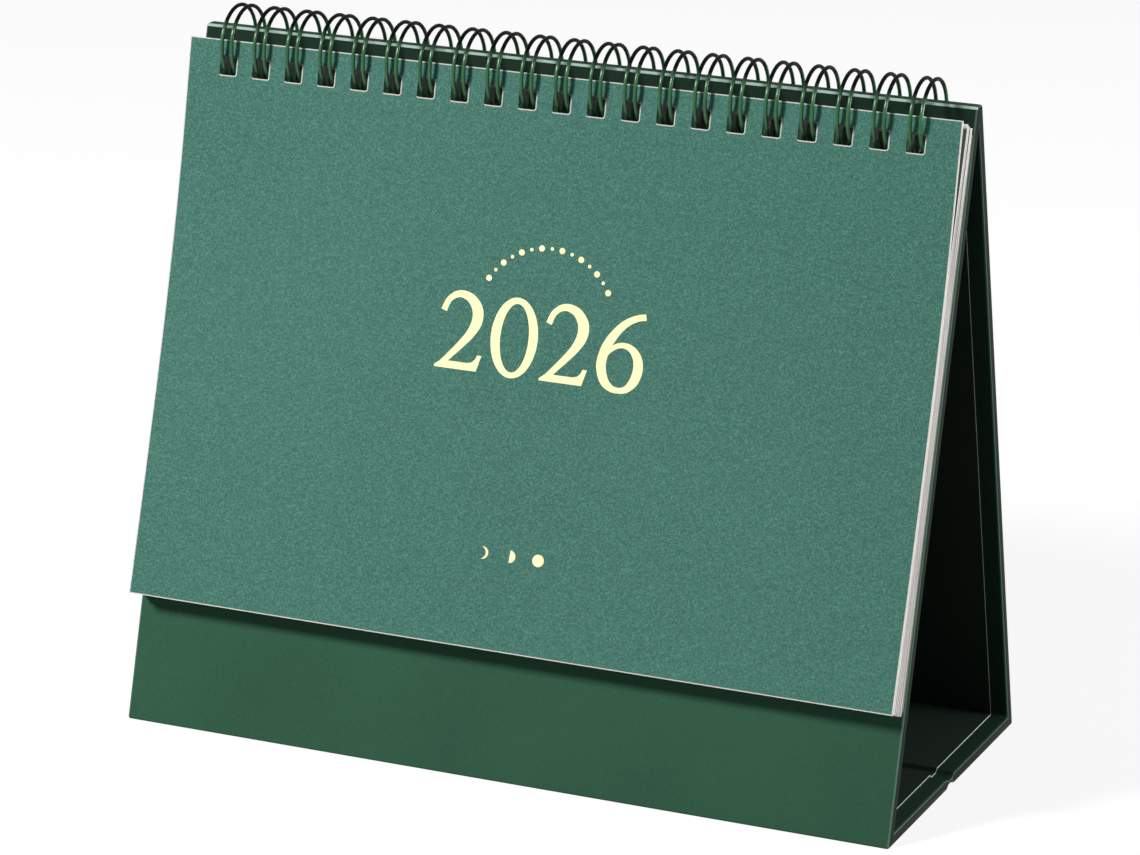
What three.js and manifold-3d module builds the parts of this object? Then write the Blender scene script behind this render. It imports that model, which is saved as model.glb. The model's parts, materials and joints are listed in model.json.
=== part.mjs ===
// Easel desk calendar: a folding tent of wrapped board, with a block of leaves
// and a card cover hung on it by one row of twin-loop wire.
// Millimetres. X runs along the ridge, Y to the back, Z up.
// The origin is on the table, under the middle of the tent.

import * as THREE from 'three';
import { mergeVertices } from 'three/addons/utils/BufferGeometryUtils.js';
import Module from 'manifold-3d';

const wasm = await Module();
wasm.setup();

// Tent, outside sizes
const STAND_WIDTH = 191;
const STAND_DEPTH = 88;
const STAND_HEIGHT = 160;
const RIDGE_WIDTH = 3.2;

// Board, wrap and liner
const BOARD = 1.9;
const WRAP = 0.25;
const LINER = 0.2;
const GAP = 0.15;
const TURN_IN = 15;
const LINER_MARGIN = 4.3;
const LINER_DROP = 18;
const CREASE_Y = -1.5;
const CREASE_WIDTH = 5;
const CREASE_SIDE = 1;
const CREASE_DEPTH = 0.8;
const RIDGE_BOARD = 2;
const RIDGE_FOLD = 1.6;
const BOARD_END_GAP = 0.4;

// Twin-loop wire
const LOOP_PITCH = 8.4667;
// Least distance from a sheet's side to the middle of the first loop
const LOOP_END = 8;
const LOOP_GAP = 2.5;
const WIRE = 0.95;
const RING_RADIUS = 8.8;
const RING_FORWARD = 3.55;
const RING_DROP = 3.2;
const SPINE_BEND = 1;
const CLOSURE_MARGIN = 6.5;

// Slots punched for the wire
const SLOT_WIDTH = 4.3;
const SLOT_HEIGHT = 4.5;
const SLOT_MARGIN = 3.7;
const SLOT_CORNER = 1.2;

// Cover, leaves and back card
const SHEET_INSET = 0.5;
const COVER_LENGTH = 131.5;
const LEAF_LENGTH = 128.5;
const COVER = 0.45;
const BACK_CARD = 0.45;
const SHEET_GAP = 0.15;
// How far the cover's face stands off the front panel, from its head to its foot
const COVER_LIFT = [8.2, 6.1, 5.6, 6.3, 7.5];
// The leaves leave the cover over this share of its length, at the head
const LEAVES_PART_AT = 0.25;
const LEAVES_HEAD_LIFT = 5.4;

// Facets
const SECTION_STEPS = 12;
const LOOP_STEPS = 12;
const WIRE_SIDES = 6;
const BEND_STEPS = 2;
const TIP_STEPS = 4;
const CORNER_STEPS = 1;

// Worked out from the sizes above
const halfWidth = STAND_WIDTH / 2;
const halfDepth = STAND_DEPTH / 2;
const lean = Math.atan2(halfDepth - RIDGE_WIDTH / 2, STAND_HEIGHT);
const boardFrom = WRAP + GAP;
const boardTo = boardFrom + BOARD;
const turnInFrom = boardTo + GAP;
const wallTo = turnInFrom + WRAP;
const linerFrom = wallTo + GAP;
const linerTo = linerFrom + LINER;
const boardHalfWidth = halfWidth - WRAP - GAP;
const sheetHalfWidth = halfWidth - SHEET_INSET;
const loops = 1 + Math.floor(2 * (sheetHalfWidth - LOOP_END) / LOOP_PITCH);
const ringCentre = new THREE.Vector2(-RING_FORWARD, STAND_HEIGHT - RING_DROP);
const wireRadius = WIRE / 2;

const colours = {
  wrap: { color: 0x3a664e, roughness: 0.55, metalness: 0 },
  liner: { color: 0x16241c, roughness: 0.8, metalness: 0 },
  board: { color: 0x8f8b83, roughness: 0.9, metalness: 0 },
  cover: { color: 0x4e826e, roughness: 0.45, metalness: 0 },
  leaf: { color: 0xefece6, roughness: 0.8, metalness: 0 },
  wire: { color: 0x1f4a34, roughness: 0.35, metalness: 0.4 },
};

// Solids for cutting and joining

function toSolid(geometry) {
  const bare = geometry.clone();
  for (const name of Object.keys(bare.attributes)) {
    if (name !== 'position') bare.deleteAttribute(name);
  }
  const merged = mergeVertices(bare, 1e-4);
  return new wasm.Manifold(new wasm.Mesh({
    numProp: 3,
    vertProperties: new Float32Array(merged.attributes.position.array),
    triVerts: new Uint32Array(merged.index.array),
  }));
}

function toGeometry(solid) {
  const mesh = solid.getMesh();
  const geometry = new THREE.BufferGeometry();
  geometry.setAttribute('position', new THREE.BufferAttribute(mesh.vertProperties, 3));
  geometry.setIndex(new THREE.BufferAttribute(mesh.triVerts, 1));
  return geometry;
}

function cut(body, cutters) {
  let solid = toSolid(body);
  for (const cutter of cutters) solid = solid.subtract(toSolid(cutter));
  return toGeometry(solid);
}

// A section drawn in Y and Z, with any holes, run along X from one place to another
function runAlongX(outline, from, to, holes = []) {
  const shape = new THREE.Shape(outline);
  for (const hole of holes) shape.holes.push(new THREE.Path(hole));
  const geometry = new THREE.ExtrudeGeometry(shape, { depth: to - from, bevelEnabled: false });
  const axes = new THREE.Matrix4().makeBasis(
    new THREE.Vector3(0, 1, 0),
    new THREE.Vector3(0, 0, 1),
    new THREE.Vector3(1, 0, 0),
  );
  return geometry.applyMatrix4(axes).translate(from, 0, 0);
}

function box(from, to) {
  const size = new THREE.Vector3().subVectors(to, from);
  const middle = new THREE.Vector3().addVectors(from, to).multiplyScalar(0.5);
  return new THREE.BoxGeometry(size.x, size.y, size.z).translate(middle.x, middle.y, middle.z);
}

function piece(name, geometry, look) {
  const mesh = new THREE.Mesh(geometry, new THREE.MeshStandardMaterial(look));
  mesh.name = name;
  return mesh;
}

// Places on the two sloping panels. In a panel's own frame X is unchanged, Z runs up
// its slope from the table, and Y is square to it, towards the back of the calendar.

const frontPanel = new THREE.Group();
frontPanel.position.set(0, -halfDepth, 0);
frontPanel.rotation.x = -lean;
frontPanel.updateMatrix();

const backPanel = new THREE.Group();
backPanel.position.set(0, halfDepth, 0);
backPanel.rotation.x = lean;
backPanel.updateMatrix();

function inPanel(panel, point) {
  const inverse = panel.matrix.clone().invert();
  return new THREE.Vector3(0, point.x, point.y).applyMatrix4(inverse);
}

// Height up the slope at which the wire's ring passes a level of the panel's own Y
function ringHeight(panel, level) {
  const centre = inPanel(panel, ringCentre);
  const across = level - centre.y;
  return centre.z - Math.sqrt(RING_RADIUS ** 2 - across ** 2);
}

// Angle round the ring at that same place
function ringAngle(panel, level) {
  const place = new THREE.Vector3(0, level, ringHeight(panel, level)).applyMatrix4(panel.matrix);
  return Math.atan2(place.z - ringCentre.y, place.y - ringCentre.x);
}

function loopCentres() {
  return Array.from({ length: loops }, (_, i) => (i - (loops - 1) / 2) * LOOP_PITCH);
}

// Plain slots through a panel's layers, in the panel's frame
function boardSlots(panel, nearLevel, farLevel) {
  const height = ringHeight(panel, (nearLevel + farLevel) / 2);
  const low = Math.min(nearLevel, farLevel) - SLOT_WIDTH / 2;
  const high = Math.max(nearLevel, farLevel) + SLOT_WIDTH / 2;
  return loopCentres().map((x) => box(
    new THREE.Vector3(x - SLOT_WIDTH / 2, low, height - SLOT_HEIGHT / 2),
    new THREE.Vector3(x + SLOT_WIDTH / 2, high, height + SLOT_HEIGHT / 2),
  ));
}

// Round-cornered slots through the cover, square at the head
function coverSlots(height, low, high) {
  const half = SLOT_WIDTH / 2;
  const foot = height - SLOT_HEIGHT / 2;
  const head = height + SLOT_HEIGHT / 2;
  return loopCentres().map((x) => {
    const shape = new THREE.Shape();
    shape.moveTo(x + half, head);
    shape.lineTo(x - half, head);
    shape.lineTo(x - half, foot + SLOT_CORNER);
    shape.absarc(x - half + SLOT_CORNER, foot + SLOT_CORNER, SLOT_CORNER, Math.PI, 1.5 * Math.PI);
    shape.lineTo(x + half - SLOT_CORNER, foot);
    shape.absarc(x + half - SLOT_CORNER, foot + SLOT_CORNER, SLOT_CORNER, 1.5 * Math.PI, 2 * Math.PI);
    shape.closePath();
    const settings = { depth: high - low, bevelEnabled: false, curveSegments: CORNER_STEPS };
    return new THREE.ExtrudeGeometry(shape, settings).rotateX(Math.PI / 2).translate(0, high, 0);
  });
}

// The tent's section at a depth inside its outer face. The base dips towards the
// middle of its thickness at the crease, from both sides.
function tentSection(depth) {
  const slope = depth / Math.cos(lean);
  const foot = halfDepth - slope - depth * Math.tan(lean);
  const top = Math.max(0, halfDepth - slope - (STAND_HEIGHT - depth) * Math.tan(lean));
  const closes = (halfDepth - slope) / Math.tan(lean);
  const height = Math.min(STAND_HEIGHT - depth, closes);
  const dip = depth < wallTo / 2 ? CREASE_DEPTH : -CREASE_DEPTH;
  const points = [
    [-foot, depth],
    [CREASE_Y - CREASE_WIDTH / 2, depth],
    [CREASE_Y - CREASE_WIDTH / 2 + CREASE_SIDE, depth + dip],
    [CREASE_Y + CREASE_WIDTH / 2 - CREASE_SIDE, depth + dip],
    [CREASE_Y + CREASE_WIDTH / 2, depth],
    [foot, depth],
    [top, height],
  ];
  if (top > 0) points.push([-top, height]);
  return points.map(([y, z]) => new THREE.Vector2(y, z));
}

// Boards of the tent

function slopingBoard(panel, side) {
  const near = side * boardFrom;
  const far = side * boardTo;
  const from = (boardFrom + GAP + boardTo * Math.sin(lean)) / Math.cos(lean);
  const ridgeFloor = STAND_HEIGHT - boardFrom - RIDGE_BOARD - RIDGE_FOLD;
  const to = (ridgeFloor - boardFrom * Math.sin(lean)) / Math.cos(lean);
  const slab = box(
    new THREE.Vector3(-boardHalfWidth, Math.min(near, far), from),
    new THREE.Vector3(boardHalfWidth, Math.max(near, far), to),
  );
  return cut(slab, boardSlots(panel, near, far));
}

function baseBoards() {
  const room = boardTo / Math.cos(lean) + boardTo * Math.tan(lean) + BOARD_END_GAP;
  const creaseFrom = CREASE_Y - CREASE_WIDTH / 2;
  const creaseTo = CREASE_Y + CREASE_WIDTH / 2;
  const front = box(
    new THREE.Vector3(-boardHalfWidth, -halfDepth + room, boardFrom),
    new THREE.Vector3(boardHalfWidth, creaseFrom - GAP, boardTo),
  );
  const rear = box(
    new THREE.Vector3(-boardHalfWidth, creaseTo + GAP, boardFrom),
    new THREE.Vector3(boardHalfWidth, halfDepth - room, boardTo),
  );
  return { front, rear };
}

function ridgeStrip() {
  const half = RIDGE_WIDTH / 2 - boardFrom;
  const head = STAND_HEIGHT - boardFrom;
  return box(
    new THREE.Vector3(-boardHalfWidth, -half, head - RIDGE_BOARD),
    new THREE.Vector3(boardHalfWidth, half, head),
  );
}

// Paper of the tent

// One sheet round the outside of the boards, over both ends and turned in
function caseWrap() {
  const wall = runAlongX(tentSection(0), -halfWidth, halfWidth, [tentSection(wallTo)]);
  const endInside = halfWidth - WRAP;
  const turnInside = halfWidth - TURN_IN;
  const boardSpace = runAlongX(tentSection(WRAP), -endInside, endInside, [tentSection(turnInFrom)]);
  const middle = runAlongX(tentSection(WRAP), -turnInside, turnInside);
  const outside = boardTo;
  const slots = [
    ...boardSlots(frontPanel, 0, outside).map((slot) => slot.applyMatrix4(frontPanel.matrix)),
    ...boardSlots(backPanel, 0, -outside).map((slot) => slot.applyMatrix4(backPanel.matrix)),
  ];
  return cut(wall, [boardSpace, middle, ...slots]);
}

// The sheet pasted down inside, from the front panel over the base to the back panel
function caseLiner() {
  const end = halfWidth - LINER_MARGIN;
  const sheet = runAlongX(tentSection(linerFrom), -end, end, [tentSection(linerTo)]);
  const head = box(
    new THREE.Vector3(-halfWidth, -halfDepth, STAND_HEIGHT - LINER_DROP),
    new THREE.Vector3(halfWidth, halfDepth, STAND_HEIGHT),
  );
  return cut(sheet, [head]);
}

// Twin-loop wire

// A curve that is stepped from point to point of a list
class SteppedCurve extends THREE.Curve {
  constructor(points) {
    super();
    this.points = points;
  }

  getPoint(t) {
    const place = t * (this.points.length - 1);
    const index = Math.min(Math.floor(place), this.points.length - 2);
    return this.points[index].clone().lerp(this.points[index + 1], place - index);
  }

  getPointAt(t) {
    return this.getPoint(t);
  }

  getTangentAt(t) {
    const index = Math.round(t * (this.points.length - 1));
    const before = this.points[Math.max(index - 1, 0)];
    const after = this.points[Math.min(index + 1, this.points.length - 1)];
    return new THREE.Vector3().subVectors(after, before).normalize();
  }
}

// The wire's line on the ring's surface unrolled flat: X, and the way round the ring.
// It is a comb, each finger going round as a hairpin and closing next to the spine.
function wireLine(spineAngle, tipAngle) {
  const spine = spineAngle * RING_RADIUS;
  const tip = tipAngle * RING_RADIUS;
  const half = LOOP_GAP / 2;
  const line = [];
  const arc = (x, u, radius, fromAngle, toAngle, steps) => {
    for (let i = 0; i <= steps; i += 1) {
      const angle = fromAngle + (toAngle - fromAngle) * i / steps;
      line.push(new THREE.Vector2(x + radius * Math.cos(angle), u + radius * Math.sin(angle)));
    }
  };
  const straight = (x, from, to) => {
    for (let i = 1; i < LOOP_STEPS; i += 1) {
      line.push(new THREE.Vector2(x, from + (to - from) * i / LOOP_STEPS));
    }
  };
  const start = spine + SPINE_BEND;
  const end = tip - half;
  for (const x of loopCentres()) {
    arc(x - half - SPINE_BEND, start, SPINE_BEND, -Math.PI / 2, 0, BEND_STEPS);
    straight(x - half, start, end);
    arc(x, end, half, Math.PI, 0, TIP_STEPS);
    straight(x + half, end, start);
    arc(x + half + SPINE_BEND, start, SPINE_BEND, Math.PI, 1.5 * Math.PI, BEND_STEPS);
  }
  return line;
}

function bindingWire() {
  const margin = THREE.MathUtils.degToRad(CLOSURE_MARGIN);
  const tipAngle = ringAngle(frontPanel, boardTo) + margin + 2 * Math.PI;
  const spineAngle = ringAngle(backPanel, -boardTo) - margin;
  // The facets' corners lie a little outside the ring, so that their middles lie inside it
  const facet = Math.cos((tipAngle - spineAngle) / LOOP_STEPS / 2);
  const radius = RING_RADIUS * 2 / (1 + facet);
  const points = wireLine(spineAngle, tipAngle).map(({ x, y }) => {
    const angle = y / RING_RADIUS;
    return new THREE.Vector3(
      x,
      ringCentre.x + radius * Math.cos(angle),
      ringCentre.y + radius * Math.sin(angle),
    );
  });
  const corners = Array.from({ length: WIRE_SIDES }, (_, i) => {
    const angle = 2 * Math.PI * i / WIRE_SIDES;
    return new THREE.Vector2(Math.cos(angle), Math.sin(angle)).multiplyScalar(wireRadius);
  });
  return new THREE.ExtrudeGeometry(new THREE.Shape(corners), {
    steps: points.length - 1,
    extrudePath: new SteppedCurve(points),
  });
}

// Cover, leaves and back card, in the front panel's frame

const coverSlope = (COVER_LIFT[0] - COVER_LIFT[1]) * (COVER_LIFT.length - 1) / COVER_LENGTH;
const coverSlotLift = COVER_LIFT[0] - coverSlope * (SLOT_MARGIN + SLOT_HEIGHT / 2);
const coverLevel = -(coverSlotLift - COVER / 2);
const coverSlotHeight = ringHeight(frontPanel, coverLevel);
const coverHead = coverSlotHeight + SLOT_HEIGHT / 2 + SLOT_MARGIN;
const coverFoot = coverHead - COVER_LENGTH;
const leavesBack = GAP + BACK_CARD + SHEET_GAP;
const leavesLevel = -(leavesBack + LEAVES_HEAD_LIFT) / 2;
const leavesSlotHeight = ringHeight(frontPanel, leavesLevel);
const leavesHead = leavesSlotHeight + SLOT_HEIGHT / 2 + SLOT_MARGIN;
const leavesFoot = leavesHead - LEAF_LENGTH;

// The line of the cover's face, from head to foot, moved in towards the panel
function faceLine(depth, lifts, head, foot) {
  const points = lifts.map((lift, i) => {
    const share = i / (lifts.length - 1);
    return new THREE.Vector2(-(lift - depth), head + (foot - head) * share);
  });
  return new THREE.SplineCurve(points).getPoints(SECTION_STEPS);
}

function frontCover() {
  const face = faceLine(0, COVER_LIFT, coverHead, coverFoot);
  const back = faceLine(COVER, COVER_LIFT, coverHead, coverFoot).reverse();
  const sheet = runAlongX([...face, ...back], -sheetHalfWidth, sheetHalfWidth);
  return cut(sheet, coverSlots(coverSlotHeight, coverLevel - SLOT_WIDTH / 2, coverLevel + SLOT_WIDTH / 2));
}

function pageBlock() {
  const depth = COVER + SHEET_GAP;
  const under = faceLine(depth, COVER_LIFT, coverHead, coverFoot);
  const split = coverHead - COVER_LENGTH * LEAVES_PART_AT;
  const face = under.filter((point) => point.y < split && point.y > leavesFoot);
  const head = new THREE.Vector2(-LEAVES_HEAD_LIFT, leavesHead);
  const last = under[under.length - 1];
  const foot = new THREE.Vector2(last.x, leavesFoot);
  const outline = [
    head,
    ...face,
    foot,
    new THREE.Vector2(-leavesBack, leavesFoot),
    new THREE.Vector2(-leavesBack, leavesHead),
  ];
  const block = runAlongX(outline, -sheetHalfWidth, sheetHalfWidth);
  return cut(block, sheetSlots(-LEAVES_HEAD_LIFT, -leavesBack));
}

function sheetSlots(near, far) {
  return loopCentres().map((x) => box(
    new THREE.Vector3(x - SLOT_WIDTH / 2, near - SLOT_WIDTH / 2, leavesSlotHeight - SLOT_HEIGHT / 2),
    new THREE.Vector3(x + SLOT_WIDTH / 2, far + SLOT_WIDTH / 2, leavesSlotHeight + SLOT_HEIGHT / 2),
  ));
}

function backCard() {
  const sheet = box(
    new THREE.Vector3(-sheetHalfWidth, -(GAP + BACK_CARD), leavesFoot),
    new THREE.Vector3(sheetHalfWidth, -GAP, leavesHead),
  );
  return cut(sheet, sheetSlots(-(GAP + BACK_CARD), -GAP));
}

// The calendar

const calendar = new THREE.Group();
const base = baseBoards();
frontPanel.add(
  piece('front_board', slopingBoard(frontPanel, 1), colours.board),
  piece('back_card', backCard(), colours.leaf),
  piece('page_block', pageBlock(), colours.leaf),
  piece('front_cover', frontCover(), colours.cover),
);
backPanel.add(piece('back_board', slopingBoard(backPanel, -1), colours.board));
calendar.add(
  frontPanel,
  backPanel,
  piece('base_front_board', base.front, colours.board),
  piece('base_rear_board', base.rear, colours.board),
  piece('ridge_strip', ridgeStrip(), colours.board),
  piece('case_wrap', caseWrap(), colours.wrap),
  piece('case_liner', caseLiner(), colours.liner),
  piece('binding_wire', bindingWire(), colours.wire),
);

export default calendar;
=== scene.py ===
# %% [markdown]
# # An easel desk calendar, modelled round its CAD frame
#
# The real thing is a tent of wrapped board. A block of leaves and a teal card cover hang
# on its ridge, all held by one green twin-loop wire. This script loads the CAD model,
# keeps the nodes whose shape is already right, and makes the others again with the small
# detail that a CAD solid leaves out: single leaves, bowed card, rounded paper folds,
# smooth wire and the foil print. Everything is in metres, in the frame of the CAD model:
# X along the ridge, Y to the back, Z up.

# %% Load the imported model
import json
import math
import random

import bpy
from mathutils import Matrix, Vector


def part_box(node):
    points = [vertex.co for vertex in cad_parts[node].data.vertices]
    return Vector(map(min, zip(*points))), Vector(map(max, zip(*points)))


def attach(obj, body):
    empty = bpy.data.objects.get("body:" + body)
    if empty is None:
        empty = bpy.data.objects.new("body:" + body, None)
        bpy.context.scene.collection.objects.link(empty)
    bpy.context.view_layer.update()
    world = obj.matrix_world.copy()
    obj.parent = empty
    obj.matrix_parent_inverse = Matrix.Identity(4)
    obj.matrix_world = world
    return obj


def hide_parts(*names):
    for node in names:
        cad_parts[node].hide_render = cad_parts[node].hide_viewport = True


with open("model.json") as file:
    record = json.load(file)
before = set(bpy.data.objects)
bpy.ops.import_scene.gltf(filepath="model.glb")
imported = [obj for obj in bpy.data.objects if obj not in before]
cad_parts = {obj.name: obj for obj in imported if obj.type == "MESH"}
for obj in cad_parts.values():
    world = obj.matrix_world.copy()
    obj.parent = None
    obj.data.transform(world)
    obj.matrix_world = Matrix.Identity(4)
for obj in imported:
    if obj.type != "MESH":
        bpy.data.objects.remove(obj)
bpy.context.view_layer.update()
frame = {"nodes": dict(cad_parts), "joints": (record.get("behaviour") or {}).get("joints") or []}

bpy.ops.object.select_all(action="DESELECT")
random.seed(7)

# %% [markdown]
# ## Sizes
#
# Most sizes are the ones that the CAD source has, in millimetres there and in metres here.
# A few follow the photograph more closely: the wire is a hair thinner, the corners of the
# slots are sharper, and the leaves are about 2 mm longer and lie closer to the tent at their
# heads. Whatever the frame can tell is read from it: the tent's own box gives its width,
# depth and height, and the joint gives the middle of the wire's rings.

# %% Sizes of the tent, the wire and the sheets
MM = 0.001
tent_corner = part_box("case_wrap")[1]
HALF_WIDTH = tent_corner.x
HALF_DEPTH = tent_corner.y
TENT_HEIGHT = tent_corner.z
RIDGE_WIDTH = 3.2 * MM
WALL = 2.7 * MM
BOARD_TO = 2.3 * MM  # from the wrap's outer face to the inner face of its board
CREASE_Y = -1.5 * MM
CREASE_MOUTH = 5 * MM
CREASE_FLOOR = 3 * MM
CREASE_DEPTH = 0.8 * MM
LEAN = math.atan2(HALF_DEPTH - RIDGE_WIDTH / 2, TENT_HEIGHT)

RING_CENTRE = Vector(frame["joints"][0]["pos_m"])
RING_RADIUS = 8.8 * MM
WIRE = 0.92 * MM
LOOPS = 21
LOOP_PITCH = 8.4667 * MM
LOOP_GAP = 2.5 * MM
SPINE_BEND = 1 * MM
CLOSURE_MARGIN = math.radians(6.5)

SLOT_WIDTH = 4.3 * MM
SLOT_HEIGHT = 4.5 * MM
SLOT_MARGIN = 3.7 * MM
SLOT_CORNER = 0.45 * MM

SHEET_HALF_WIDTH = HALF_WIDTH - 0.5 * MM
COVER_LENGTH = 131.5 * MM
COVER = 0.45 * MM
LEAF_LENGTH = 130.7 * MM
SHEET_GAP = 0.15 * MM
LEAVES_BACK = 0.75 * MM  # from the panel to the last leaf, past the back card
LEAVES_HEAD_LIFT = 4.5 * MM
LEAVES_PART_AT = 0.25  # where the leaves part from the cover, as a share of its length
COVER_LIFT = [8.2, 6.1, 5.6, 6.3, 7.5]  # mm off the panel, at even steps down the cover
print("tent", HALF_WIDTH * 2, HALF_DEPTH * 2, TENT_HEIGHT, "lean", math.degrees(LEAN))

# %% [markdown]
# ## Places on the sloping panels
#
# Boards, sheets and slots are easiest to draw as if a panel stood upright. Each of the two
# sloping panels therefore gets a matrix. In its own frame X is unchanged, Z runs up the
# slope from the table, and Y is square to the panel, towards the back of the calendar.
# The wire's rings are circles, so where a ring goes through a sheet depends on how far the
# sheet stands off the panel. Two small functions work that out.

# %% Panel frames and the ring
FRONT = Matrix.Translation((0, -HALF_DEPTH, 0)) @ Matrix.Rotation(-LEAN, 4, "X")
BACK = Matrix.Translation((0, HALF_DEPTH, 0)) @ Matrix.Rotation(LEAN, 4, "X")


def ring_height(panel, level):
    """Height up the slope at which the rings pass a level of the panel's own Y."""
    centre = panel.inverted() @ RING_CENTRE
    return centre.z - math.sqrt(RING_RADIUS ** 2 - (level - centre.y) ** 2)


def ring_angle(panel, level):
    """The same place as an angle round the ring, seen along X."""
    place = panel @ Vector((0, level, ring_height(panel, level))) - RING_CENTRE
    return math.atan2(place.z, place.y)


def loop_centres():
    return [(i - (LOOPS - 1) / 2) * LOOP_PITCH for i in range(LOOPS)]


print("ring passes the front panel at", round(ring_height(FRONT, 0) / MM, 2), "mm up")

# %% [markdown]
# ## Modelling by hand, in code
#
# These helpers do what a hand would do in the viewport: add a cube, select some of its
# parts by where they are, apply a modifier. Everything is deselected first, because an
# operator acts on all that is selected.

# %% Modelling helpers
NEAR = 0.01 * MM
ROUND_SEGMENTS = 4


def select_only(piece):
    bpy.ops.object.select_all(action="DESELECT")
    piece.select_set(True)
    bpy.context.view_layer.objects.active = piece


def add_box(name, low, high):
    """A cube that reaches from one corner to the other, with its origin at the world's."""
    low, high = Vector(low), Vector(high)
    bpy.ops.object.select_all(action="DESELECT")
    bpy.ops.mesh.primitive_cube_add(size=1, location=(low + high) / 2, scale=high - low)
    piece = bpy.context.object
    piece.name = piece.data.name = name
    bpy.ops.object.transform_apply(location=True, rotation=True, scale=True)
    return piece


def pick(piece, kind, test):
    """Enters edit mode with just the vertices, edges or faces selected that pass a test."""
    select_only(piece)
    bpy.ops.object.mode_set(mode="EDIT")
    bpy.ops.mesh.select_mode(type=kind)
    bpy.ops.mesh.select_all(action="DESELECT")
    bpy.ops.object.mode_set(mode="OBJECT")
    mesh = piece.data
    parts = {"VERT": mesh.vertices, "EDGE": mesh.edges, "FACE": mesh.polygons}[kind]
    for part in parts:
        part.select = test(part)
    bpy.ops.object.mode_set(mode="EDIT")


def leave_edit_mode():
    bpy.ops.object.mode_set(mode="OBJECT")


def seal(gap):
    """Merges vertices that lie within a gap, turns the faces out and leaves edit mode."""
    bpy.ops.mesh.select_all(action="SELECT")
    bpy.ops.mesh.remove_doubles(threshold=gap)
    bpy.ops.mesh.normals_make_consistent(inside=False)
    leave_edit_mode()


def apply(piece, kind, **settings):
    """Adds a modifier with its settings and applies it."""
    modifier = piece.modifiers.new(kind.title(), kind)
    for key, value in settings.items():
        setattr(modifier, key, value)
    select_only(piece)
    bpy.ops.object.modifier_apply(modifier=modifier.name)


def cut(piece, cutter):
    """Takes a solid away. The faces it leaves keep the cutter's material."""
    apply(piece, "BOOLEAN", operation="DIFFERENCE", solver="EXACT",
          material_mode="TRANSFER", object=cutter)
    bpy.data.objects.remove(cutter)


def place(piece, matrix):
    """Moves a piece by a matrix and applies it, so that its origin stays at the world's."""
    piece.matrix_world = matrix @ piece.matrix_world
    select_only(piece)
    bpy.ops.object.transform_apply(location=True, rotation=True, scale=True)


def smooth(piece, degrees):
    select_only(piece)
    bpy.ops.object.shade_smooth_by_angle(angle=math.radians(degrees))


def assign(piece, material):
    """Gives a material to the faces selected in edit mode, and leaves that mode."""
    piece.active_material_index = piece.data.materials.find(material.name)
    bpy.ops.object.material_slot_assign()
    leave_edit_mode()


def paint(piece, material, test):
    """Gives a material to the faces that pass a test."""
    if material.name not in piece.data.materials:
        piece.data.materials.append(material)
    pick(piece, "FACE", test)
    assign(piece, material)


def gather(name, pieces):
    """Puts pieces that lie apart into one object."""
    bpy.ops.object.select_all(action="DESELECT")
    for piece in pieces:
        piece.select_set(True)
    bpy.context.view_layer.objects.active = pieces[0]
    bpy.ops.object.join()
    pieces[0].name = pieces[0].data.name = name
    return pieces[0]


def report(piece):
    size = [round(v / MM, 2) for v in piece.dimensions]
    print(piece.name, "faces", len(piece.data.polygons), "size in mm", size)


print("a rounded edge has", ROUND_SEGMENTS, "faces across")

# %% [markdown]
# ## Finishes
#
# Every surface here is paper, card, board, coated wire or foil. What makes paper look like
# paper is small: a grain far below a millimetre, a tone that wanders a little over
# centimetres, and a gloss that differs from spot to spot. All of that comes from noise on
# Object coordinates, so it keeps its real scale and moves with its piece.
#
# Shader sums are written as Python sums. `Value` wraps a socket and turns operators into
# Math nodes, and `Finish` adds any other node in one call.

# %% Shader helpers
class Value:
    """A shader value that can be used in Python sums."""

    def __init__(self, tree, socket):
        self.tree = tree
        self.socket = socket

    def math(self, operation, first, second=None):
        node = self.tree.nodes.new("ShaderNodeMath")
        node.operation = operation
        for index, item in enumerate((first, second)):
            if isinstance(item, Value):
                self.tree.links.new(item.socket, node.inputs[index])
            elif item is not None:
                node.inputs[index].default_value = item
        return Value(self.tree, node.outputs[0])

    def __add__(self, other):
        return self.math("ADD", self, other)

    def __sub__(self, other):
        return self.math("SUBTRACT", self, other)

    def __rsub__(self, other):
        return self.math("SUBTRACT", other, self)

    def __mul__(self, other):
        return self.math("MULTIPLY", self, other)

    def __truediv__(self, other):
        return self.math("DIVIDE", self, other)

    def __gt__(self, other):
        return self.math("GREATER_THAN", self, other)

    def __lt__(self, other):
        return self.math("LESS_THAN", self, other)

    def __abs__(self):
        return self.math("ABSOLUTE", self)

    __radd__ = __add__
    __rmul__ = __mul__


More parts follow.
